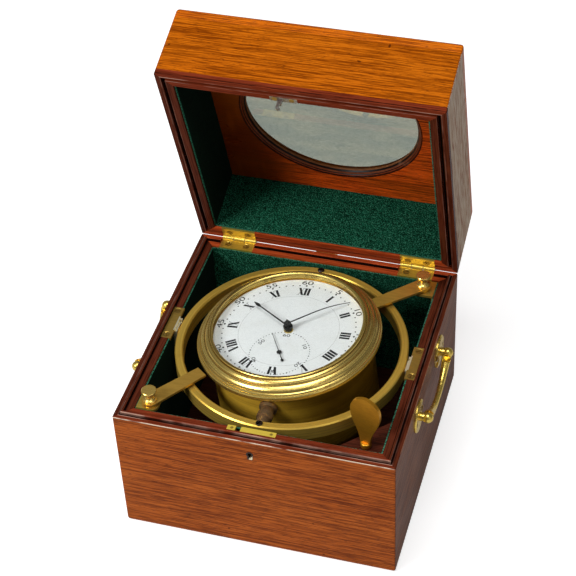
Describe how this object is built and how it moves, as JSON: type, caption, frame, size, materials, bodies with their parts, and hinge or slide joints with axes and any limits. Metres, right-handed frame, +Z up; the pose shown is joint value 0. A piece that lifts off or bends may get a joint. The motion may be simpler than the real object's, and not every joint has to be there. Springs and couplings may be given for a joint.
{
  "type": "deck watch box",
  "caption": "Mahogany box with a glazed hinged lid, holding a deck watch in a brass gimbal with lock arms, a winding key in a corner block, a lock and drop handles.",
  "frame": {"origin": "centre of the underside of the box", "axes": "+X to the right seen from the front, +Y to the hinges at the back, +Z up"},
  "size_m": [0.2042, 0.2341, 0.2907],
  "materials": {
    "case_mahogany": "old french polish, orange brown, satin",
    "lid_mahogany": "old french polish, brighter orange brown, satin",
    "window_ring_wood": "dark red brown polish",
    "green_baize": "dark green wool baize",
    "fitting_brass": "aged, dull gold",
    "lock_steel": "plain steel",
    "handle_brass": "aged, dull gold",
    "gimbal_brass": "lacquered, satin",
    "blued_screw": "blued",
    "bowl_brass": "lacquered, satin",
    "watch_glass": "clear",
    "dial_enamel": "silvered white, satin",
    "movement_brass": "gilt",
    "hand_metal": "dark",
    "key_brass": "worn bright"
  },
  "bodies": {
    "base": {"base_front_wall": "case_mahogany", "base_back_wall": "case_mahogany", "base_left_wall": "case_mahogany", "base_right_wall": "case_mahogany", "base_floor": "case_mahogany", "base_baize": "green_baize", "key_block": "case_mahogany", "lock_plate": "fitting_brass", "lock_case": "lock_steel", "lock_pins": "fitting_brass", "keyhole_rim": "fitting_brass", "hinge_leaves_base": "fitting_brass", "hinge_pins": "fitting_brass", "hinge_screws_base": "fitting_brass", "lid_stop": "fitting_brass", "ring_bracket_left": "fitting_brass", "ring_bracket_right": "fitting_brass", "bracket_screws": "fitting_brass", "corner_bracket_left": "fitting_brass", "corner_bracket_right": "fitting_brass", "handle_plates_left": "handle_brass", "handle_plates_right": "handle_brass", "handle_screws": "handle_brass"},
    "lid": {"lid_front_wall": "lid_mahogany", "lid_back_wall": "lid_mahogany", "lid_left_wall": "lid_mahogany", "lid_right_wall": "lid_mahogany", "lid_top_panel": "lid_mahogany", "window_ring": "window_ring_wood", "window_glass": "watch_glass", "lid_baize": "green_baize", "hinge_leaves_lid": "fitting_brass", "hinge_screws_lid": "fitting_brass", "hook_plate": "lock_steel", "lid_hook": "lock_steel", "hook_screws": "fitting_brass"},
    "gimbal_ring": {"gimbal_ring": "gimbal_brass", "ring_pivot_pins": "gimbal_brass", "bowl_pivot_pins": "gimbal_brass", "ring_set_screws": "blued_screw"},
    "bowl": {"bowl": "bowl_brass", "bowl_trunnions": "gimbal_brass", "movement": "movement_brass", "dial": "dial_enamel"},
    "bezel": {"bezel": "bowl_brass", "bezel_glass": "watch_glass"},
    "hour_hand": {"hour_hand": "hand_metal"},
    "minute_hand": {"minute_hand": "hand_metal"},
    "seconds_hand": {"seconds_hand": "hand_metal"},
    "arm_left": {"arm_left": "gimbal_brass"},
    "arm_right": {"arm_right": "gimbal_brass"},
    "thumb_nut_left": {"thumb_nut_left": "gimbal_brass"},
    "thumb_nut_right": {"thumb_nut_right": "gimbal_brass"},
    "bail_left": {"bail_left": "handle_brass"},
    "bail_right": {"bail_right": "handle_brass"},
    "winding_key": {"winding_key": "key_brass"},
    "lock_bolt": {"lock_bolt": "lock_steel"}
  },
  "joints": [
    {"name": "lid_hinge", "type": "hinge", "parent": "base", "child": "lid", "pos_m": [0, 0.092, 0.1001], "axis": [-1, 0, 0], "range_deg": [-72.4, 24.6]},
    {"name": "ring_tilt", "type": "hinge", "parent": "base", "child": "gimbal_ring", "pos_m": [0, 0, 0.0938], "axis": [1, 0, 0], "range_deg": [-2, 2]},
    {"name": "bowl_tilt", "type": "hinge", "parent": "gimbal_ring", "child": "bowl", "pos_m": [0, 0, 0.0938], "axis": [0, 1, 0], "range_deg": [-3, 13]},
    {"name": "bezel_turn", "type": "hinge", "parent": "bowl", "child": "bezel", "pos_m": [-0.00154, 0, 0.11073], "axis": [-0.0906, 0, 0.9959], "range_deg": [0, 360]},
    {"name": "seconds_turn", "type": "hinge", "parent": "bowl", "child": "seconds_hand", "pos_m": [-0.00154, -0.0219, 0.11073], "axis": [0.0906, 0, -0.9959], "continuous": true},
    {"name": "minute_turn", "type": "hinge", "parent": "bowl", "child": "minute_hand", "pos_m": [-0.00154, 0, 0.11073], "axis": [0.0906, 0, -0.9959], "continuous": true},
    {"name": "hour_turn", "type": "hinge", "parent": "bowl", "child": "hour_hand", "pos_m": [-0.00154, 0, 0.11073], "axis": [0.0906, 0, -0.9959], "continuous": true},
    {"name": "arm_left_swing", "type": "hinge", "parent": "base", "child": "arm_left", "pos_m": [-0.0722, -0.0744, 0.1025], "axis": [0, 0, 1], "range_deg": [0, 45]},
    {"name": "arm_right_swing", "type": "hinge", "parent": "base", "child": "arm_right", "pos_m": [0.0722, 0.0722, 0.1025], "axis": [0, 0, 1], "range_deg": [0, 45]},
    {"name": "nut_left_turn", "type": "hinge", "parent": "base", "child": "thumb_nut_left", "pos_m": [-0.0722, -0.0744, 0.108], "axis": [0, 0, 1], "range_deg": [0, 360]},
    {"name": "nut_right_turn", "type": "hinge", "parent": "base", "child": "thumb_nut_right", "pos_m": [0.0722, 0.0722, 0.108], "axis": [0, 0, 1], "range_deg": [0, 360]},
    {"name": "bail_left_swing", "type": "hinge", "parent": "base", "child": "bail_left", "pos_m": [-0.0985, 0, 0.0845], "axis": [0, 1, 0], "range_deg": [-20, 100]},
    {"name": "bail_right_swing", "type": "hinge", "parent": "base", "child": "bail_right", "pos_m": [0.0985, 0, 0.0845], "axis": [0, -1, 0], "range_deg": [-20, 100]},
    {"name": "key_lift", "type": "slide", "parent": "base", "child": "winding_key", "axis": [0, 0, 1], "range_m": [0, 0.045]},
    {"name": "bolt_slide", "type": "slide", "parent": "base", "child": "lock_bolt", "axis": [-1, 0, 0], "range_m": [0, 0.0021]}
  ],
  "couplings": [
    {"joint": "hour_turn", "follows": "minute_turn", "ratio": 0.083333}
  ]
}
